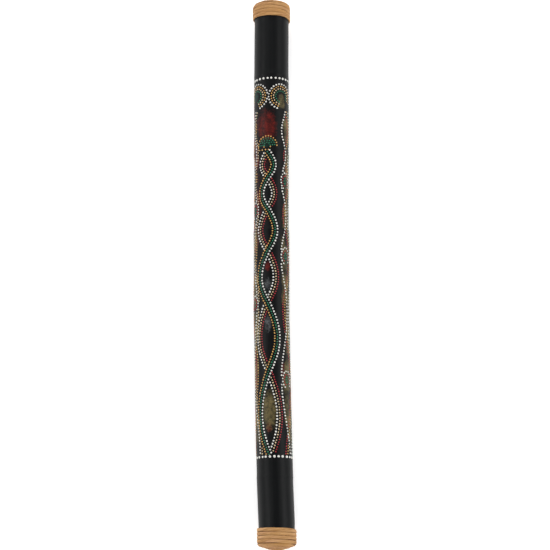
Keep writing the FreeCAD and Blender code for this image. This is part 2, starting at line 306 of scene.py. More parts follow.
# For each colour of dot: radius, and distance from one dot to the next
DOT_SIZES = {
    "white": (1.62 * MM, 5.5 * MM),
    "cream": (1.32 * MM, 4.9 * MM),
    "gold": (1.32 * MM, 4.8 * MM),
    "green": (1.22 * MM, 4.3 * MM),
    "red": (1.25 * MM, 4.5 * MM),
}
RING_DOT = (2.4 * MM, 7.6 * MM)
LINE_GAP = 4.7 * MM  # between dotted lines that run side by side
DOT_JITTER = 0.25 * MM  # how far a dot is out of place
DOT_SIZE_RANGE = (0.84, 1.08)
RING_JITTER = 0.1  # of the distance between two dots
RING_SIZE_RANGE = (0.82, 1.05)
ARC_POINTS = 60
STRAND_POINTS = 900
FAN_SHARES = (0.78, 0.55, 0.32)  # radii of its green half rings
FAN_GAP = 2.5 * MM  # between the half rings and the arcs that close them
SHORTEST_RUN = 3  # dots in a row; a shorter run between other lines is left out
CELL = 6 * MM  # of the grid that finds a new dot's neighbours
CELLS_ROUND = int(GIRTH // CELL) + 1

draw = random.Random(7)
dots = {colour: [] for colour in DOT_SIZES}
cells = {}


def wrapped(around):
    return (around + GIRTH / 2) % GIRTH - GIRTH / 2


def is_clear(down, around, radius):
    """Whether a dot would be inside the painted panel and clear of every dot that is already there."""
    if not 0 <= down <= PANEL_LENGTH:
        return False
    row = int(down // CELL)
    column = int(around // CELL)
    for i in (row - 1, row, row + 1):
        for j in (column - 1, column, column + 1):
            for other_down, other_around, other in cells.get((i, j % CELLS_ROUND), ()):
                apart = math.hypot(down - other_down, wrapped(around - other_around))
                if apart < radius + other:
                    return False
    return True


def add_row(colour, row):
    """Adds the clear dots of a row of (down, around, radius), leaving out short runs between others."""
    row = [(down, wrapped(around), radius) for down, around, radius in row]
    for clear, run in itertools.groupby(row, lambda dot: is_clear(*dot)):
        run = list(run)
        if clear and len(run) >= SHORTEST_RUN:
            dots[colour] += run
            for dot in run:
                cell = (int(dot[0] // CELL), int(dot[1] // CELL) % CELLS_ROUND)
                cells.setdefault(cell, []).append(dot)


def ring(down):
    """A ring of large white dots round the stick."""
    radius, spacing = RING_DOT
    count = round(GIRTH / spacing)
    row = []
    for number in range(count):
        around = (number + draw.uniform(-RING_JITTER, RING_JITTER)) * GIRTH / count
        row.append((down, around, radius * draw.uniform(*RING_SIZE_RANGE)))
    add_row("white", row)


def beside(line, distance):
    """The line that runs a distance to one side of another."""
    down, around = line
    along_down = np.gradient(down)
    along_around = np.gradient(around)
    length = np.hypot(along_down, along_around) + 1e-12
    return down - distance * along_around / length, around + distance * along_down / length


def arc(down, around, radius, start, sweep, stretch=1.0):
    """Part of a circle or oval. Angles are in degrees, from the far end's direction towards +around."""
    angles = np.radians(start + np.linspace(0, sweep, ARC_POINTS))
    return down - stretch * radius * np.cos(angles), around + radius * np.sin(angles)


def beat(down):
    """The braid's place at each distance down: a whole number wherever its two bands cross."""
    number = np.interp(down, CROSSINGS, np.arange(len(CROSSINGS)))
    return number + np.minimum(down - CROSSINGS[0], 0) / FIRST_LOOP


def strand(middle, sway, phase, start):
    """A line that sways in time with the braid: the longer its loop, the wider."""
    down = np.linspace(start, STRAND_END, STRAND_POINTS)
    width = np.interp(down, CROSSINGS, LOOP_WIDTHS)
    return down, middle + sway * width * np.sin(math.pi * (beat(down) + phase))


class Face:
    """One face of the stick, which the pattern's parts are drawn on: the front, or the back turned."""

    def __init__(self, is_back):
        self.is_back = is_back

    def on_stick(self, down, around):
        if self.is_back:
            return PANEL_LENGTH - down, GIRTH / 2 - around
        return down, around

    def dotted(self, colour, line):
        """Dots at even distances along a line, each a little out of place and size."""
        radius, spacing = DOT_SIZES[colour]
        down, around = line
        steps = np.hypot(np.diff(down), np.diff(around))
        length = np.concatenate([[0], np.cumsum(steps)])
        count = max(1, int(length[-1] // spacing))
        row = []
        for place in np.linspace(0, length[-1], count + 1):
            d = float(np.interp(place, length, down)) + draw.uniform(-DOT_JITTER, DOT_JITTER)
            a = float(np.interp(place, length, around)) + draw.uniform(-DOT_JITTER, DOT_JITTER)
            row.append((*self.on_stick(d, a), radius * draw.uniform(*DOT_SIZE_RANGE)))
        add_row(colour, row)

    def band(self, line, colours):
        """Dotted lines side by side about a line, from left to right."""
        for number, colour in enumerate(colours):
            self.dotted(colour, beside(line, (number - (len(colours) - 1) / 2) * LINE_GAP))

    def curl(self, down, around, start, sweep, arcs, stretch=1.0):
        """Arcs inside one another, from (radius, colour) pairs, stretched along the stick."""
        for radius, colour in arcs:
            self.dotted(colour, arc(down, around, radius, start, sweep, stretch))

    def fan(self, down, around, radius):
        """Half rings of green inside a gold one, closed by a line of short gold arcs."""
        self.dotted("gold", arc(down, around, radius, -90, 180))
        for share in FAN_SHARES:
            self.dotted("green", arc(down, around, radius * share, -86, 172))
        scallop = radius / 3
        for place in (-2 * scallop, 0, 2 * scallop):
            self.dotted("gold", arc(down + FAN_GAP, around + place, scallop, -90, -180))


# The braid down the middle of a face: two bands that cross again and again and leave almond loops
# between them. Each loop is longer and wider than the one before.
FIRST_LOOP = 47 * MM
LOOP_GROWTH = 1.27
LOOP_COUNT = 6
CROSSINGS = [140 * MM]
for loop_number in range(LOOP_COUNT):
    CROSSINGS.append(CROSSINGS[-1] + FIRST_LOOP * LOOP_GROWTH**loop_number)
LOOP_WIDTHS = np.linspace(10 * MM, 19 * MM, LOOP_COUNT + 1)
STRAND_END = 697 * MM
STRAND_START = 62 * MM

# Strands: colours from left to right, middle, sway as a share of the loops' width, phase in half turns,
# and start. The first two are the braid.
STRANDS = [
    (["gold", "green", "white"], -7 * MM, 1.0, 0.0, CROSSINGS[0]),
    (["white", "cream", "red"], -7 * MM, -1.0, 0.0, CROSSINGS[0]),
    (["white"], 25 * MM, 0.5, 0.4, STRAND_START),
    (["red", "gold"], 33 * MM, -0.55, 0.4, STRAND_START),
    (["white", "green"], 45 * MM, 0.3, 1.2, STRAND_START),
    (["white", "cream"], -34 * MM, 0.45, 0.55, STRAND_START),
    (["red", "gold"], -40 * MM, -0.5, 0.55, STRAND_START),
]

# Curls under the ring: (down, around, start, sweep) with arcs of (radius, colour)
BIG_ARCS = [(11 * MM, "green"), (15.2 * MM, "cream"), (19.6 * MM, "gold"), (24 * MM, "white")]
BIG_CURLS = [(35 * MM, 19 * MM, 110, -270), (33 * MM, -31 * MM, -110, 270)]

# Hooks between the strands at the sides: (beat, around) of each one's middle
HOOK_ARCS = [(3.2 * MM, "green"), (6.8 * MM, "red"), (10.4 * MM, "white")]
HOOK_STRETCH = 1.5
HOOKS = [(1.1, 29 * MM), (3.1, 29 * MM), (5.1, 29 * MM), (2.0, -37 * MM), (4.0, -37 * MM)]


def paint_dots():
    ring(0)
    ring(PANEL_LENGTH)
    for face in (Face(False), Face(True)):
        for down, around, start, sweep in BIG_CURLS:
            face.curl(down, around, start, sweep, BIG_ARCS)
        face.fan(128 * MM, -8 * MM, 18 * MM)
        for place, around in HOOKS:
            down = float(np.interp(place, range(len(CROSSINGS)), CROSSINGS))
            face.curl(down, around, -150, 280, HOOK_ARCS, HOOK_STRETCH)
        for colours, *path in STRANDS:
            face.band(strand(*path), colours)


# Sponged paint: (colour, down, around, half length, half width, strength), in mm
SPONGE = [
    ("red", 92, -9, 34, 21, 1.0),
    ("teal", 33, -34, 9, 8, 0.9),
    ("ochre", 44, 20, 16, 9, 1.0),
    ("teal", 122, -8, 10, 14, 0.9),
    ("red", 164, -7, 12, 5, 0.7),
    ("teal", 193, 30, 12, 8, 1.0),
    ("red", 352, -7, 9, 5, 1.1),
    ("grey", 386, -7, 14, 6, 0.9),
    ("grey", 456, -7, 18, 7, 0.9),
    ("ochre", 612, -7, 36, 14, 1.1),
    ("red", 640, -8, 12, 6, 1.0),
    ("ochre", 408, 24, 18, 6, 1.0),
    ("red", 540, 20, 20, 5, 0.9),
    ("ochre", 310, 22, 16, 6, 0.9),
    ("teal", 335, 30, 14, 8, 1.0),
    ("teal", 556, 30, 16, 8, 1.0),
    ("teal", 247, -37, 12, 8, 1.0),
    ("red", 419, -37, 14, 8, 1.0),
]
# Long sponged strips beside the strands: (colour, around, swing, start, end, half width, strength), in mm
SPONGE_STRIPS = [
    ("ochre", 35, 3, 58, 300, 11, 1.15),
    ("ochre", 33, 5, 300, 700, 10, 1.2),
    ("ochre", 44, 3, 380, 470, 8, 1.1),
    ("red", -30, 4, 60, 330, 8, 0.95),
    ("ochre", -36, 4, 270, 690, 11, 1.05),
]
SPONGE_REACH = 1.6  # paint thins out to nothing at this many times a patch's half length or width
STRIP_WAVE = 37 * MM  # how far along a strip swings, for each radian
STRIP_FADE = 20 * MM  # at a strip's ends
STRIP_UNEVEN = [(0.18, 13 * MM, 2), (0.12, 5 * MM, 1)]  # size, distance for each radian, times the phase
STRIP_BASE = 0.82
SPONGE_MARGINS = (6 * MM, 5 * MM)  # kept clear at the far and near rings
SPONGE_COLOURS = {
    "red": rgb(112, 32, 27),
    "ochre": rgb(118, 106, 70),
    "teal": rgb(14, 66, 54),
    "grey": rgb(108, 110, 112),
}


def sponge_density(down, around):
    """How much of each sponged colour there is at each point, from 0 to 1."""
    density = {colour: np.zeros(down.shape) for colour in SPONGE_COLOURS}
    for face in (Face(False), Face(True)):
        face_down, face_around = face.on_stick(down, around)
        for colour, d, a, half_long, half_wide, strength in SPONGE:
            long_way = (face_down - d * MM) / (half_long * MM)
            wide_way = wrapped(face_around - a * MM) / (half_wide * MM)
            amount = strength * np.clip(SPONGE_REACH - np.hypot(long_way, wide_way), 0, 1)
            density[colour] = np.maximum(density[colour], amount)
        for colour, a, swing, start, end, half_wide, strength in SPONGE_STRIPS:
            middle = (a + swing * np.sin(face_down / STRIP_WAVE + a)) * MM
            away = np.abs(wrapped(face_around - middle)) / (half_wide * MM)
            from_ends = np.minimum(face_down - start * MM, end * MM - face_down)
            uneven = STRIP_BASE
            for size, length, times in STRIP_UNEVEN:
                uneven = uneven + size * np.sin(face_down / length + times * a)
            fade = np.clip(from_ends / STRIP_FADE, 0, 1)
            amount = strength * fade * uneven * np.clip(SPONGE_REACH - away, 0, 1)
            density[colour] = np.maximum(density[colour], amount)
    inside = (down > SPONGE_MARGINS[0]) & (down < PANEL_LENGTH - SPONGE_MARGINS[1])
    return {colour: values * inside for colour, values in density.items()}


def paint_material():
    """Satin black paint with sponged colours, and bare bamboo inside. The grain of both runs lengthwise."""
    look, tree, shader = material("black_paint", Specular_IOR_Level=0.28, IOR=1.32)
    place = object_place(tree)
    fine = grain(tree, place, 620, 3, 0.7)
    coarse = grain(tree, place, 150, 5, 0.75)
    long_streaks = grain(tree, stretched(tree, (0.02, 1, 1), place), 260, 3, 0.5)
    base = blend_colours(tree, long_streaks, rgb(9, 10, 12), rgb(18, 19, 20))
    base = blend_colours(tree, spread(tree, coarse, 0.5, 0.75), base, rgb(9, 15, 15))
    pores = weighed(tree, fine, 1.0, coarse, 1.3)
    for colour, value in SPONGE_COLOURS.items():
        density = attribute(tree, colour).outputs["Fac"]
        mask = spread(tree, combine(tree, "SUBTRACT", density, pores), -0.55, 0.12, 0, 0.95)
        shade = blend_colours(tree, spread(tree, coarse, 0.35, 0.65), value, darker(value, 0.58))
        base = blend_colours(tree, mask, base, shade)
    brushed = grain(tree, stretched(tree, (0.03, 1, 1), place), 700, 4, 0.6)
    bamboo = blend_colours(tree, brushed, rgb(196, 170, 116), rgb(158, 124, 76))
    base = blend_colours(tree, attribute(tree, "bare").outputs["Fac"], base, bamboo)
    relief = weighed(tree, brushed, 0.6, fine, 0.25)
    feed(
        tree,
        shader,
        Base_Color=base,
        Roughness=spread(tree, combine(tree, "ADD", brushed, long_streaks), 0.6, 1.4, 0.34, 0.5),
        Normal=bump(tree, relief, 0.12 * MM),
    )
    return look


SKIN_ROWS = 561
SKIN_COLUMNS = 112
BORE_ROWS = 61


def make_skin():
    """The painted culm: outside with its unevenness, plain bore, and the rims between them."""
    angles = np.linspace(0, 2 * math.pi, SKIN_COLUMNS, endpoint=False)
    outside_places = np.linspace(CULM_ENDS["near"], CULM_ENDS["far"], SKIN_ROWS)
    x, angle = np.meshgrid(outside_places, angles, indexing="ij")
    outside = culm_surface(x, angle)
    bore_places = np.linspace(CULM_ENDS["near"], CULM_ENDS["far"], BORE_ROWS)
    bore_x, bore_angle = np.meshgrid(bore_places, angles, indexing="ij")
    bow = np.interp(bore_x, PLACES, BOWS)
    bore_y = AXIS_Y + bow - BORE_RADIUS * np.sin(bore_angle)
    bore_z = AXIS_Z - DROOP * bow + BORE_RADIUS * np.cos(bore_angle)
    bore = np.stack([bore_x, bore_y, bore_z], -1)
    points = np.concatenate([outside.reshape(-1, 3), bore.reshape(-1, 3)])
    faces = tube_faces(SKIN_ROWS, SKIN_COLUMNS)
    first_bore = SKIN_ROWS * SKIN_COLUMNS
    faces += [[first_bore + v for v in f] for f in tube_faces(BORE_ROWS, SKIN_COLUMNS, flip=True)]
    last_outside = first_bore - SKIN_COLUMNS
    last_bore = first_bore + (BORE_ROWS - 1) * SKIN_COLUMNS
    for j in range(SKIN_COLUMNS):
        k = (j + 1) % SKIN_COLUMNS
        faces.append([k, j, first_bore + j, first_bore + k])
        faces.append([last_outside + j, last_outside + k, last_bore + k, last_bore + j])
    skin = mesh_object("painted_culm", points.tolist(), faces, paint_material(), "stick")
    density = sponge_density(PANEL_FAR - x.ravel(), wrapped(angle.ravel() * SURFACE_RADIUS))
    inside = np.ones(BORE_ROWS * SKIN_COLUMNS)
    for colour, values in density.items():
        set_attribute(skin, colour, np.concatenate([values, inside * 0]))
    set_attribute(skin, "bare", np.concatenate([np.zeros(first_bore), inside]))
    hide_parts("bamboo_culm")


DOT_COLOURS = {
    "white": rgb(243, 241, 234),
    "cream": rgb(238, 212, 168),
    "gold": rgb(230, 178, 98),
    "green": rgb(24, 132, 94),
    "red": rgb(188, 44, 50),
}
DOT_HEIGHT = 0.42  # of its radius
DOT_SUNK = 0.12 * MM
DOT_SIDES = 14
DOT_RINGS = [(1.0, 0.0), (0.9, 0.46), (0.58, 0.86)]  # radius and height of each ring, as shares
DOT_TONES = (0.6, 1.0)
DOT_OVALS = (0.92, 1.08)


def dot_material(colour, value):
    """Thick dried acrylic: each dot has its own tone, and the paint's surface is slightly pitted."""
    look, tree, shader = material("dot_" + colour, Specular_IOR_Level=0.45)
    tone = attribute(tree, "tone").outputs["Fac"]
    pits = grain(tree, object_place(tree), 1400, 3, 0.6)
    shaded = darker(value, 0.62)
    base = blend_colours(tree, tone, shaded, value)
    base = blend_colours(tree, spread(tree, pits, 0.55, 0.8, 0, 0.35), base, shaded)
    feed(
        tree,
        shader,
        Base_Color=base,
        Roughness=spread(tree, pits, 0.3, 0.7, 0.34, 0.52),
        Normal=bump(tree, pits, 0.05 * MM),
    )
    return look


def make_dots(colour, places):
    """All the dots of one colour as one piece: low domes that follow the skin."""
    turn = np.linspace(0, 2 * math.pi, DOT_SIDES, endpoint=False)
    points = []
    faces = []
    tones = []
    for down, around, radius in places:
        first = len(points)
        x = PANEL_FAR - down
        tone = draw.uniform(*DOT_TONES)
        oval = draw.uniform(*DOT_OVALS)
        for share, rise in DOT_RINGS:
            across = np.cos(turn) * radius * share * oval
            sideways = np.sin(turn) * radius * share / oval
            lift = rise * DOT_HEIGHT * radius if rise else -DOT_SUNK
            points += culm_surface(x + across, (around + sideways) / SURFACE_RADIUS, lift).tolist()
        top = culm_surface(np.array([x]), np.array([around / SURFACE_RADIUS]), DOT_HEIGHT * radius)
        points += top.tolist()
        faces.append([first + i for i in range(DOT_SIDES)])
        for ring_number in range(len(DOT_RINGS) - 1):
            a = first + ring_number * DOT_SIDES
            for i in range(DOT_SIDES):
                j = (i + 1) % DOT_SIDES
                faces.append([a + j, a + i, a + DOT_SIDES + i, a + DOT_SIDES + j])
        last = first + (len(DOT_RINGS) - 1) * DOT_SIDES
        for i in range(DOT_SIDES):
            faces.append([last + (i + 1) % DOT_SIDES, last + i, len(points) - 1])
        tones += [tone] * (len(points) - first)
    look = dot_material(colour, DOT_COLOURS[colour])
    piece = mesh_object("dots_" + colour, points, faces, look, "stick")
    set_attribute(piece, "tone", tones)


# ---------------------------------------------------------------------------------------------------
# Wound cord. Its line is the CAD's: out over the plug's cone, round the shoulder, down the side.

CORD_WIDTH = 6.5 * MM
CORD_THICK = 2.8 * MM
CORD_PITCH = 6.6 * MM
CORD_GAP = 0.25 * MM
SIDE_TURNS = 23.5 * MM
SLOPE = math.radians(17.5)
DOME_RIM = 3.8 * MM
DOME_ROUND = 4.5 * MM
SHANK_RADIUS = 1.0 * MM
COIL_EYE_GAP = 0.15 * MM
CAD_CORD_WIDTH = 6.4 * MM
CORD_STOPS = {"near": math.pi, "far": 0.0}
CORD_SEEDS = {"near": 3.7, "far": 11.2}

HALF_THICK = CORD_GAP + CORD_THICK / 2
SIDE_RADIUS = END_RADIUS + HALF_THICK
START_RADIUS = SHANK_RADIUS + COIL_EYE_GAP + CAD_CORD_WIDTH / 2 * math.cos(SLOPE)
SHOULDER = DOME_ROUND + HALF_THICK
SHOULDER_OUT = SIDE_RADIUS - SHOULDER
SHOULDER_HEIGHT = DOME_RIM - DOME_ROUND * math.tan((math.pi / 2 - SLOPE) / 2)
CONE_RUN = (SHOULDER_OUT + SHOULDER * math.sin(SLOPE) - START_RADIUS) / math.cos(SLOPE)
SHOULDER_RUN = SHOULDER * (math.pi / 2 - SLOPE)
CORD_RUN = CONE_RUN + SHOULDER_RUN + SIDE_TURNS

STEPS_PER_TURN = 110
CORD_STRANDS = 10  # ridges round the cord, from the fibres it is twisted of
POINTS_PER_STRAND = 6
LAY_LENGTH = 150 * MM  # along the cord for one whole twist
RIDGE_DEPTH = 0.13  # of the cord's half thickness

# Unevenness of the cord, as (size, lumps for each metre of it). Widths and thicknesses are shares.
CORD_WANDER = (0.25 * MM, 34)  # how far it strays from even turns
WIDTH_LUMPS = (0.10, 55)
THICK_LUMPS = (0.05, 70)
FLAT_SIDE = 0.75  # powers that square off the cord's oval across and through it
FLAT_FACE = 0.7


def winding_line(distance):
    """The cord's middle as (radius, height) and the tilt of its flat side, a distance along that line."""
    if distance < CONE_RUN:
        radius = START_RADIUS + distance * math.cos(SLOPE)
        cone = DOME_RIM + (END_RADIUS - radius) * math.tan(SLOPE)
        return radius, cone + HALF_THICK / math.cos(SLOPE), SLOPE
    if distance < CONE_RUN + SHOULDER_RUN:
        tilt = SLOPE + (distance - CONE_RUN) / SHOULDER
        radius = SHOULDER_OUT + SHOULDER * math.sin(tilt)
        return radius, SHOULDER_HEIGHT + SHOULDER * math.cos(tilt), tilt
    down = distance - CONE_RUN - SHOULDER_RUN
    return SIDE_RADIUS, SHOULDER_HEIGHT - down, math.pi / 2


def on_cord(end, distance, wide, thick):
    """Points beside and above the cord's middle, a distance along the line that it is wound on."""
    outward = {"near": -1, "far": 1}[end]
    angle = CORD_STOPS[end] + 2 * math.pi * (distance - CORD_RUN) / CORD_PITCH
    radius, height, tilt = winding_line(distance)
    out = radius + wide * math.cos(tilt) + thick * math.sin(tilt)
    rise = height - wide * math.sin(tilt) + thick * math.cos(tilt)
    x = CULM_ENDS[end] + outward * rise
    y = AXIS_Y + out * math.sin(angle)
    z = AXIS_Z - outward * out * math.cos(angle)
    return np.stack([x, y, z], -1)


def cord_material():
    """Tan plant fibre: long streaks that follow the twist, and painted shade in its grooves and between the
    turns.
    """
    look, tree, shader = material("plant_fibre_cord", Specular_IOR_Level=0.2)
    fibre = attribute(tree, "fibre").outputs["Vector"]
    groove = attribute(tree, "groove").outputs["Fac"]
    seam_shade = attribute(tree, "seam_shade").outputs["Fac"]
    streaks = grain(tree, stretched(tree, (14, 1400, 1400), fibre), 1.0, 4, 0.6)
    threads = grain(tree, stretched(tree, (40, 4200, 4200), fibre), 1.0, 3, 0.6)
    patches = grain(tree, stretched(tree, (24, 240, 240), fibre), 1.0, 2, 0.5)
    base = blend_colours(tree, spread(tree, streaks, 0.35, 0.68), rgb(180, 132, 82), rgb(216, 171, 117))
    base = blend_colours(tree, spread(tree, patches, 0.52, 0.7, 0, 0.5), base, rgb(214, 164, 128))
    base = blend_colours(tree, spread(tree, patches, 0.46, 0.3, 0, 0.5), base, rgb(208, 156, 88))
    base = blend_colours(tree, spread(tree, threads, 0.5, 0.68, 0, 0.62), base, rgb(136, 92, 54))
    base = blend_colours(tree, spread(tree, threads, 0.42, 0.3, 0, 0.4), base, rgb(228, 190, 140))
    # Painted shade: the grooves between the twisted strands are darkened towards brown.
    base = blend_colours(tree, spread(tree, groove, 0.35, 1.0, 0, 0.5), base, rgb(122, 80, 46))
    # Painted shade between the turns: dark brown along the cord's edges, where one turn meets the next,
    # broken up by the patches.
    broken_seam_shade = combine(tree, "ADD", seam_shade, spread(tree, patches, 0.42, 0.62, -0.26, 0.1))
    base = blend_colours(tree, spread(tree, broken_seam_shade, 0.78, 1.02, 0, 0.92), base, rgb(80, 47, 24))
    relief = weighed(tree, threads, 0.6, streaks, 0.4)
    feed(
        tree,
        shader,
        Base_Color=base,
        Roughness=spread(tree, threads, 0.3, 0.7, 0.66, 0.88),
        Normal=bump(tree, relief, 0.4 * MM),
    )
    return look


def uneven_cord(lumps, travelled, seed, layer):
    """How far a measure of the cord is off, a distance along it. Each layer has its own lumps."""
    size, rate = lumps
    return size * noise.noise(Vector((travelled * rate, seed, layer)))


def squared(wave, power):
    return np.sign(wave) * np.abs(wave) ** power


def make_winding(end, look):
    """One flattened, twisted cord in a flat coil over the dome and in turns down the side."""
    steps = int(CORD_RUN / CORD_PITCH * STEPS_PER_TURN)
    around = CORD_STRANDS * POINTS_PER_STRAND
    seed = CORD_SEEDS[end]
    theta = np.linspace(0, 2 * math.pi, around, endpoint=False)
    points = []
    fibre = []
    groove = []
    seam_shade = []
    travelled = 0.0
    for step in range(steps + 1):
        distance = CORD_RUN - (steps - step) * CORD_PITCH / STEPS_PER_TURN
        travelled += 2 * math.pi * winding_line(distance)[0] / STEPS_PER_TURN
        twist = 2 * math.pi * travelled / LAY_LENGTH
        wander = uneven_cord(CORD_WANDER, travelled, seed, 0)
        half_wide = CORD_WIDTH / 2 * (1 + uneven_cord(WIDTH_LUMPS, travelled, seed, 5))
        half_thick = CORD_THICK / 2 * (1 - THICK_LUMPS[0] + uneven_cord(THICK_LUMPS, travelled, seed, 9))
        turned = theta - twist
        ridge = np.abs(np.sin(CORD_STRANDS * turned / 2))
        shrink = 1 - RIDGE_DEPTH * (1 - ridge) ** 2 * 2
        wide = half_wide * squared(np.cos(theta), FLAT_SIDE) * shrink + wander
        thick = half_thick * squared(np.sin(theta), FLAT_FACE) * shrink
        thick = thick - (CORD_THICK / 2 - half_thick)
        points.append(on_cord(end, distance, wide, thick))
        along = np.full(around, travelled + seed)
        fibre.append(np.stack([along, MM * np.cos(turned), MM * np.sin(turned)], -1))
        # How deep in a groove of the twist each point lies, which masks the painted shade there
        groove.append((1 - ridge) ** 2)
        # How near each point is to the cord's edges, which masks the painted shade between the turns
        seam_shade.append(np.abs(np.cos(theta)))
    rows = steps + 1
    flip = end == "near"
    faces = tube_faces(rows, around, flip)
    first = list(range(around))
    last = list(range((rows - 1) * around, rows * around))
    faces.append(first if flip else first[::-1])
    faces.append(last[::-1] if flip else last)
    name = end + "_cord_winding"
    piece = mesh_object(name, np.concatenate(points).tolist(), faces, look, "stick")
    set_attribute(piece, "fibre", np.concatenate(fibre), "FLOAT_VECTOR")
    set_attribute(piece, "groove", np.concatenate(groove))
    set_attribute(piece, "seam_shade", np.concatenate(seam_shade))
    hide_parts(end + "_winding")


# Loose fibres that have worked out of the cord
FRAYS = 150
FRAY_RADIUS = 0.13 * MM
FRAY_LENGTH = (6 * MM, 20 * MM)
FRAY_LIFT = (0.2 * MM, 1.1 * MM)
FRAY_STEPS = 9
FRAY_SIDES = 5
FRAY_FLOOR = 3 * MM  # none of them reach lower than this
FRAY_PLACES = (0.04, 0.96)  # of the cord's line
FRAY_LANDINGS = (0.5, 1.0)  # 1 where both ends are in the cord
FRAY_SIDE = 0.4  # of the cord's width, from its middle
FRAY_DRIFT = 0.25
FRAY_TAPER = (1.15, 0.6)  # thickness at the root, and how much of it is lost on the way to the tip


def make_frays(end, look):
    """Thin fibres that leave the cord's surface, arch over it and come back or end in the air."""
    own = random.Random(CORD_SEEDS[end])
    turn = np.linspace(0, 2 * math.pi, FRAY_SIDES, endpoint=False)
    points = []
    faces = []
    fibre = []
    for number in range(FRAYS):
        middle = own.uniform(*FRAY_PLACES) * CORD_RUN
        length = own.uniform(*FRAY_LENGTH)
        span = length / (2 * math.pi * winding_line(middle)[0]) * CORD_PITCH
        lift = own.uniform(*FRAY_LIFT)
        landing = own.uniform(*FRAY_LANDINGS)
        side = own.uniform(-FRAY_SIDE, FRAY_SIDE) * CORD_WIDTH
        drift = own.uniform(-FRAY_DRIFT, FRAY_DRIFT) * CORD_WIDTH
        first = len(points)
        for share in np.linspace(0, 1, FRAY_STEPS):
            thin = FRAY_RADIUS * (FRAY_TAPER[0] - FRAY_TAPER[1] * share)
            arch = CORD_THICK / 2 - 2 * FRAY_RADIUS + lift * math.sin(math.pi * share * landing)
            wide = side + drift * share + thin * np.cos(turn)
            distance = min(max(middle + (share - 0.5) * span, 0.0), CORD_RUN)
            points += on_cord(end, distance, wide, arch + thin * np.sin(turn)).tolist()
            fibre += [(middle + share * length, number * MM, 0.0)] * FRAY_SIDES
        if min(z for _, _, z in points[first:]) < FRAY_FLOOR:
            del points[first:]
            del fibre[first:]
            continue
        flip = end == "near"
        faces += [[first + v for v in face] for face in tube_faces(FRAY_STEPS, FRAY_SIDES, flip)]
        tip = len(points) - FRAY_SIDES
        faces.append([first + i for i in range(FRAY_SIDES)][:: 1 if flip else -1])
        faces.append([tip + i for i in range(FRAY_SIDES)][:: -1 if flip else 1])
    piece = mesh_object(end + "_loose_fibres", points, faces, look, "stick")
    set_attribute(piece, "fibre", fibre, "FLOAT_VECTOR")


# ---------------------------------------------------------------------------------------------------
# Pebbles: an uneven stone in the place of each ball of the CAD's runs

PEBBLE_RUNS = ["pebbles_floor", "pebbles_heap", "pebbles_left", "pebbles_right"]
PEBBLE_SHAPES = [(0.86, 1.0), (0.8, 0.96), (0.68, 0.86)]  # half length, width and height, as shares
PEBBLE_ROUND = 0.93
PEBBLE_LUMPS = (0.10, 1.3)  # size, and lumps for each radius
NOISE_STEP = 3.1  # from one stone's place in the noise to the next one's
NOISE_REACH = 50


def pebble_material():
    look, tree, shader = material("pebble_stone", Specular_IOR_Level=0.3)
    tone = attribute(tree, "tone").outputs["Fac"]
    place = object_place(tree)
    mottle = grain(tree, place, 420, 4, 0.6)
    specks = grain(tree, place, 2600, 2, 0.6)
    base = blend_colours(tree, tone, rgb(112, 98, 82), rgb(190, 178, 160))
    base = blend_colours(tree, spread(tree, mottle, 0.45, 0.65, 0, 0.6), base, rgb(136, 104, 74))
    base = blend_colours(tree, spread(tree, specks, 0.62, 0.72, 0, 0.7), base, rgb(60, 54, 48))
    feed(
        tree,
        shader,
        Base_Color=base,
        Roughness=spread(tree, mottle, 0.3, 0.7, 0.6, 0.85),
        Normal=bump(tree, specks, 0.08 * MM),
    )
    return look


def ball_places(node):
    """The middle and radius of each separate ball in a CAD node, from its mesh."""
    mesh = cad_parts[node].data
    points = np.array([v.co for v in mesh.vertices])
    corners = np.array([e.vertices for e in mesh.edges])
    _, same = np.unique(np.round(points, 6), axis=0, return_inverse=True)
    edges = same.ravel()[corners]
    label = np.arange(same.max() + 1)
    while True:
        least = np.minimum(label[edges[:, 0]], label[edges[:, 1]])
        before = label.copy()
        np.minimum.at(label, edges[:, 0], least)
        np.minimum.at(label, edges[:, 1], least)
        label = label[label]
        if (label == before).all():
            break
    member = label[same.ravel()]
    balls = []
    for number in np.unique(member):
        own = points[member == number]
        low, high = own.min(0), own.max(0)
        balls.append(((low + high) / 2, (high - low).max() / 2))
    return balls


def make_pebbles(node, look):
    ball = bmesh.new()
    bmesh.ops.create_icosphere(ball, subdivisions=3, radius=1.0)
    shape = np.array([v.co for v in ball.verts])
    triangles = [[v.index for v in f.verts] for f in ball.faces]
    ball.free()
    own = random.Random(node)
    points = []
    faces = []
    tones = []
    for number, (middle, radius) in enumerate(ball_places(node)):
        first = len(points)
        squash = np.array([own.uniform(*limits) for limits in PEBBLE_SHAPES])
        angle = own.uniform(0, math.tau)
        turn = Matrix.Rotation(angle, 3, [own.gauss(0, 1) for _ in range(3)])
        offset = Vector((number * NOISE_STEP, own.uniform(0, NOISE_REACH), 0))
        for corner in shape:
            lump = PEBBLE_ROUND + PEBBLE_LUMPS[0] * noise.noise(Vector(corner) * PEBBLE_LUMPS[1] + offset)
            stone = np.array(turn @ Vector(corner * squash))
            points.append(tuple(middle + radius * min(lump, 1.0) * stone))
        faces += [[first + i for i in t] for t in triangles]
        tones += [own.uniform(0, 1)] * len(shape)
    piece = mesh_object(node + "_stones", points, faces, look, node)
    set_attribute(piece, "tone", tones)
    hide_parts(node)


# ---------------------------------------------------------------------------------------------------
# Wood of the pieces that keep their CAD shape

WAVE_PERIOD = 2 * math.pi / 20  # of a wave texture whose scale is 1, in metres
PORE_SQUEEZE = 0.06


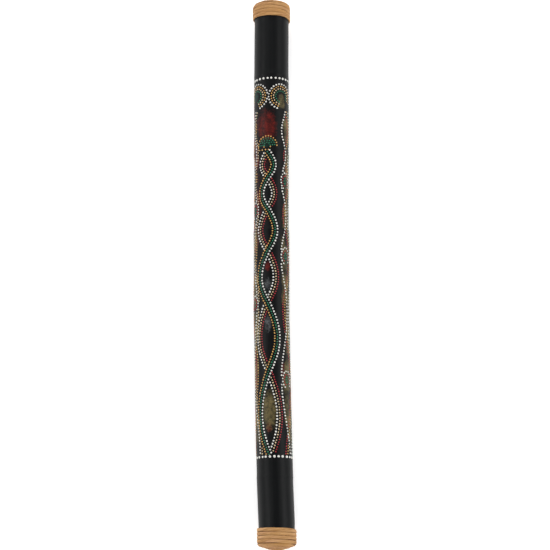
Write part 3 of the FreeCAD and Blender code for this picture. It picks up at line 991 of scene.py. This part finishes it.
def wood_material(name, pale, dark, along, ring_spacing, roughness):
    """Bare wood with growth rings round its grain, pores along it, and a sawn or turned surface."""
    look, tree, shader = material(name, Specular_IOR_Level=0.3)
    place = object_place(tree)
    inputs = {"Vector": place, "Scale": WAVE_PERIOD / ring_spacing, "Distortion": 2.2, "Detail": 2.0}
    rings = add(tree, "TexWave", inputs, wave_type="RINGS", rings_direction=along).outputs["Fac"]
    squeeze = [PORE_SQUEEZE if axis == along else 1.0 for axis in "XYZ"]
    pores = grain(tree, stretched(tree, squeeze, place), 4200, 3, 0.6)
    base = blend_colours(tree, spread(tree, rings, 0.35, 1.0), pale, dark)
    base = blend_colours(tree, spread(tree, pores, 0.56, 0.72, 0, 0.5), base, darker(dark, 0.45))
    feed(
        tree,
        shader,
        Base_Color=base,
        Roughness=spread(tree, pores, 0.3, 0.7, roughness - 0.08, roughness + 0.1),
        Normal=bump(tree, pores, 0.1 * MM),
    )
    return look


def dress(node, look):
    """Gives every material slot of a carried-over CAD node a better material."""
    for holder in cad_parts[node].material_slots:
        holder.material = look


# ---------------------------------------------------------------------------------------------------
# Floor and light

FLOOR_SIZE = 60.0
FLOOR_DROP = 0.02 * MM
FLOOR_GLOW = (0.49, 0.75)  # the floor's own light, under the stick and far from it, where no lamp reaches
GLOW_CHANGE = (1.5, 6.0)  # metres from the stick


def make_floor():
    look, tree, shader = material("floor_paper", Roughness=0.9, Specular_IOR_Level=0.1)
    shader.inputs["Emission Color"].default_value = (1, 1, 1, 1)
    place = object_place(tree)
    away = add(tree, "VectorMath", {0: place}, operation="LENGTH").outputs["Value"]
    soft = grain(tree, place, 3.0, 2, 0.5)
    feed(
        tree,
        shader,
        Base_Color=blend_colours(tree, soft, rgb(240, 240, 240), rgb(243, 243, 242)),
        Emission_Strength=spread(tree, away, *GLOW_CHANGE, *FLOOR_GLOW),
    )
    half = FLOOR_SIZE / 2
    mesh = bpy.data.meshes.new("floor")
    level = cad_bounds[0][2] - FLOOR_DROP
    corners = [(-half, -half, level), (half, -half, level), (half, half, level), (-half, half, level)]
    mesh.from_pydata(corners, [], [[0, 1, 2, 3]])
    mesh.materials.append(look)
    floor = bpy.data.objects.new("floor", mesh)
    bpy.context.scene.collection.objects.link(floor)


# Softboxes, all turned to the floor under the stick's middle: name, place, length, width, watts
SOFTBOXES = [
    ("left_softbox", (0.0, 2.6, 1.9), 3.6, 1.6, 54),
    ("right_softbox", (0.0, -2.6, 1.9), 3.6, 1.6, 56),
    ("far_softbox", (2.9, 0.3, 2.0), 2.0, 1.6, 50),
    ("near_softbox", (-3.0, -0.2, 1.4), 2.0, 1.4, 26),
]
LIGHT_TARGET = Vector((0, 0, 0))
WORLD_LIGHT = 0.18  # the backdrop's light on the scene
WORLD_SEEN = 0.93  # the backdrop as it is seen


def make_lights():
    for name, place, length, width, watts in SOFTBOXES:
        data = bpy.data.lights.new(name, "AREA")
        data.shape = "RECTANGLE"
        data.size = length
        data.size_y = width
        data.energy = watts
        lamp = bpy.data.objects.new(name, data)
        lamp.location = place
        away = LIGHT_TARGET - Vector(place)
        lamp.rotation_euler = away.to_track_quat("-Z", "Y").to_euler()
        bpy.context.scene.collection.objects.link(lamp)
    world = bpy.data.worlds.new("studio")
    world.use_nodes = True
    tree = world.node_tree
    background = tree.nodes["Background"]
    background.inputs["Color"].default_value = (1, 1, 1, 1)
    seen = add(tree, "LightPath").outputs["Is Camera Ray"]
    strength = spread(tree, seen, 0, 1, WORLD_LIGHT, WORLD_SEEN)
    tree.links.new(strength, background.inputs["Strength"])
    bpy.context.scene.world = world
    bpy.context.scene.view_settings.view_transform = "Standard"


# ---------------------------------------------------------------------------------------------------

make_camera()
make_floor()
make_lights()
paint_dots()
make_skin()
for dot_colour, dot_places in dots.items():
    make_dots(dot_colour, dot_places)
cord_look = cord_material()
stone_look = pebble_material()
for stick_end in ("near", "far"):
    make_winding(stick_end, cord_look)
    make_frays(stick_end, cord_look)
for run in PEBBLE_RUNS:
    make_pebbles(run, stone_look)
button_look = wood_material("button_wood", rgb(230, 202, 176), rgb(208, 168, 134), "X", 1.1 * MM, 0.55)
plug_look = wood_material("plug_wood", rgb(206, 174, 132), rgb(172, 132, 88), "X", 2.4 * MM, 0.6)
peg_look = wood_material("peg_wood", rgb(214, 184, 130), rgb(180, 142, 88), "Z", 0.8 * MM, 0.6)
for stick_end in ("near", "far"):
    dress(stick_end + "_button", button_look)
    dress(stick_end + "_plug", plug_look)
for group in range(1, len(LENGTH_RADII) + 1):
    dress("pegs_%d" % group, peg_look)
